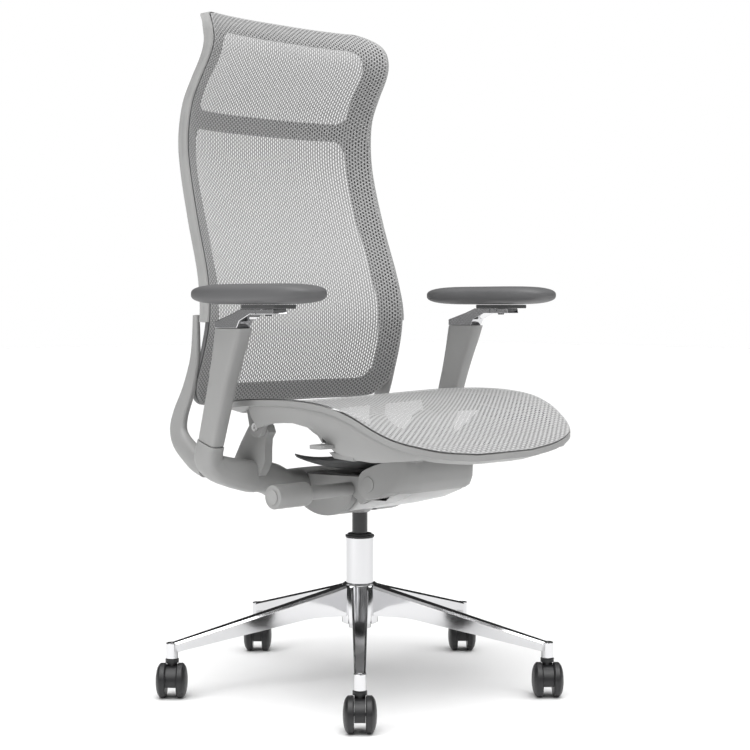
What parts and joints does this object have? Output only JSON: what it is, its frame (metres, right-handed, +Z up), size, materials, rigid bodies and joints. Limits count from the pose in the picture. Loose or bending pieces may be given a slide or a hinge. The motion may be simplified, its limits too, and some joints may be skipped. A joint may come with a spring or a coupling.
{
  "type": "office chair",
  "caption": "High-back swivel office chair with mesh seat and back, height-adjustable arms, gas lift, tilt mechanism and a polished five-leg base on twin-wheel casters.",
  "frame": {"origin": "on the floor, on the axis of the gas lift", "axes": "+Z up, -Y the way the sitter faces, +X to the sitter's left"},
  "size_m": [0.7171, 0.715, 1.207],
  "materials": {
    "polished_aluminium": "polished",
    "chrome": "polished",
    "black_nylon": "satin",
    "acetal": "smooth",
    "steel": "satin",
    "black_paint": "gloss",
    "cast_aluminium": "satin",
    "grey_nylon": "fine texture",
    "dark_nylon": "fine texture",
    "back_mesh": "open elastic knit",
    "seat_mesh": "open elastic knit",
    "pad_foam": "soft touch"
  },
  "bodies": {
    "base": {"star_base": "polished_aluminium", "column_tube": "chrome", "column_collar": "black_nylon", "guide_bush": "acetal", "thrust_bearing": "steel", "column_clip": "steel"},
    "spindle": {"piston_rod": "steel"},
    "chassis": {"gas_cylinder": "black_paint", "chassis_casting": "cast_aluminium", "chassis_cover": "grey_nylon", "mechanism_cover": "dark_nylon", "tension_spring": "steel", "recline_pin": "steel", "front_pin": "grey_nylon"},
    "knob": {"knob_shaft": "grey_nylon", "tension_knob": "grey_nylon"},
    "back": {"yoke_bracket": "grey_nylon", "yoke_left": "grey_nylon", "yoke_right": "grey_nylon", "back_shell": "grey_nylon", "back_frame": "dark_nylon", "neck_bar": "dark_nylon", "back_mesh": "back_mesh", "arm_post_left": "steel", "arm_post_right": "steel"},
    "link": {"front_link": "grey_nylon"},
    "seat": {"seat_frame": "grey_nylon", "seat_pan": "grey_nylon", "seat_mesh": "seat_mesh", "seat_pivot_screws": "steel", "link_pin": "steel", "lever_pin": "steel"},
    "lever": {"height_lever": "grey_nylon"},
    "arm_left": {"arm_sleeve_left": "grey_nylon", "arm_bracket_left": "chrome"},
    "plate_left": {"pad_plate_left": "dark_nylon"},
    "pad_left": {"arm_pad_left": "pad_foam"},
    "arm_right": {"arm_sleeve_right": "grey_nylon", "arm_bracket_right": "chrome"},
    "plate_right": {"pad_plate_right": "dark_nylon"},
    "pad_right": {"arm_pad_right": "pad_foam"},
    "caster_1": {"caster_1_hood": "black_nylon", "caster_1_stem": "steel"},
    "wheels_1": {"caster_1_wheels": "black_nylon"},
    "caster_2": {"caster_2_hood": "black_nylon", "caster_2_stem": "steel"},
    "wheels_2": {"caster_2_wheels": "black_nylon"},
    "caster_3": {"caster_3_hood": "black_nylon", "caster_3_stem": "steel"},
    "wheels_3": {"caster_3_wheels": "black_nylon"},
    "caster_4": {"caster_4_hood": "black_nylon", "caster_4_stem": "steel"},
    "wheels_4": {"caster_4_wheels": "black_nylon"},
    "caster_5": {"caster_5_hood": "black_nylon", "caster_5_stem": "steel"},
    "wheels_5": {"caster_5_wheels": "black_nylon"}
  },
  "joints": [
    {"name": "seat_swivel", "type": "hinge", "parent": "base", "child": "spindle", "pos_m": [0, 0, 0.2], "axis": [0, 0, 1], "continuous": true},
    {"name": "seat_height", "type": "slide", "parent": "spindle", "child": "chassis", "axis": [0, 0, 1], "range_m": [-0.02, 0.08]},
    {"name": "tension_turn", "type": "hinge", "parent": "chassis", "child": "knob", "pos_m": [-0.1, -0.052, 0.361], "axis": [1, 0, 0], "range_deg": [-360, 360]},
    {"name": "recline", "type": "hinge", "parent": "chassis", "child": "back", "pos_m": [0, 0.08, 0.357], "axis": [-1, 0, 0], "range_deg": [0, 18], "stiffness_Nm_per_rad": 120, "springref_deg": -20.05},
    {"name": "link_turn", "type": "hinge", "parent": "chassis", "child": "link", "pos_m": [0, -0.111, 0.374], "axis": [-1, 0, 0], "range_deg": [0, 28]},
    {"name": "seat_tilt", "type": "hinge", "parent": "back", "child": "seat", "pos_m": [0, 0.026, 0.473], "axis": [-1, 0, 0], "range_deg": [-12, 0]},
    {"name": "lever_lift", "type": "hinge", "parent": "seat", "child": "lever", "pos_m": [-0.217, -0.161, 0.452], "axis": [0, 1, 0], "range_deg": [0, 10], "stiffness_Nm_per_rad": 0.4, "springref_deg": -14.32},
    {"name": "arm_height_left", "type": "slide", "parent": "back", "child": "arm_left", "axis": [0, -0.2926, 0.9562], "range_m": [0, 0.08]},
    {"name": "pad_turn_left", "type": "hinge", "parent": "arm_left", "child": "plate_left", "pos_m": [0.29, -0.084, 0.67], "axis": [0, 0, 1], "range_deg": [-20, 20]},
    {"name": "pad_slide_left", "type": "slide", "parent": "plate_left", "child": "pad_left", "axis": [0, 1, 0], "range_m": [-0.025, 0.025]},
    {"name": "arm_height_right", "type": "slide", "parent": "back", "child": "arm_right", "axis": [0, -0.2926, 0.9562], "range_m": [0, 0.08]},
    {"name": "pad_turn_right", "type": "hinge", "parent": "arm_right", "child": "plate_right", "pos_m": [-0.29, -0.084, 0.67], "axis": [0, 0, 1], "range_deg": [-20, 20]},
    {"name": "pad_slide_right", "type": "slide", "parent": "plate_right", "child": "pad_right", "axis": [0, 1, 0], "range_m": [-0.025, 0.025]},
    {"name": "caster_swivel_1", "type": "hinge", "parent": "base", "child": "caster_1", "pos_m": [-0.24025, -0.2462, 0.08], "axis": [0, 0, 1], "continuous": true},
    {"name": "wheel_spin_1", "type": "hinge", "parent": "caster_1", "child": "wheels_1", "pos_m": [-0.24584, -0.25192, 0.03], "axis": [0.7157, -0.6984, 0], "continuous": true},
    {"name": "caster_swivel_2", "type": "hinge", "parent": "base", "child": "caster_2", "pos_m": [0.15991, -0.30457, 0.08], "axis": [0, 0, 1], "continuous": true},
    {"name": "wheel_spin_2", "type": "hinge", "parent": "caster_2", "child": "wheels_2", "pos_m": [0.15432, -0.3103, 0.03], "axis": [0.7157, -0.6984, 0], "continuous": true},
    {"name": "caster_swivel_3", "type": "hinge", "parent": "base", "child": "caster_3", "pos_m": [0.33908, 0.05796, 0.08], "axis": [0, 0, 1], "continuous": true},
    {"name": "wheel_spin_3", "type": "hinge", "parent": "caster_3", "child": "wheels_3", "pos_m": [0.33349, 0.05223, 0.03], "axis": [0.7157, -0.6984, 0], "continuous": true},
    {"name": "caster_swivel_4", "type": "hinge", "parent": "base", "child": "caster_4", "pos_m": [0.04966, 0.3404, 0.08], "axis": [0, 0, 1], "continuous": true},
    {"name": "wheel_spin_4", "type": "hinge", "parent": "caster_4", "child": "wheels_4", "pos_m": [0.04407, 0.33467, 0.03], "axis": [0.7157, -0.6984, 0], "continuous": true},
    {"name": "caster_swivel_5", "type": "hinge", "parent": "base", "child": "caster_5", "pos_m": [-0.30839, 0.15242, 0.08], "axis": [0, 0, 1], "continuous": true},
    {"name": "wheel_spin_5", "type": "hinge", "parent": "caster_5", "child": "wheels_5", "pos_m": [-0.31398, 0.14669, 0.03], "axis": [0.7157, -0.6984, 0], "continuous": true}
  ],
  "couplings": [
    {"joint": "link_turn", "follows": "recline", "ratio": 1.464},
    {"joint": "seat_tilt", "follows": "recline", "ratio": -0.587}
  ]
}
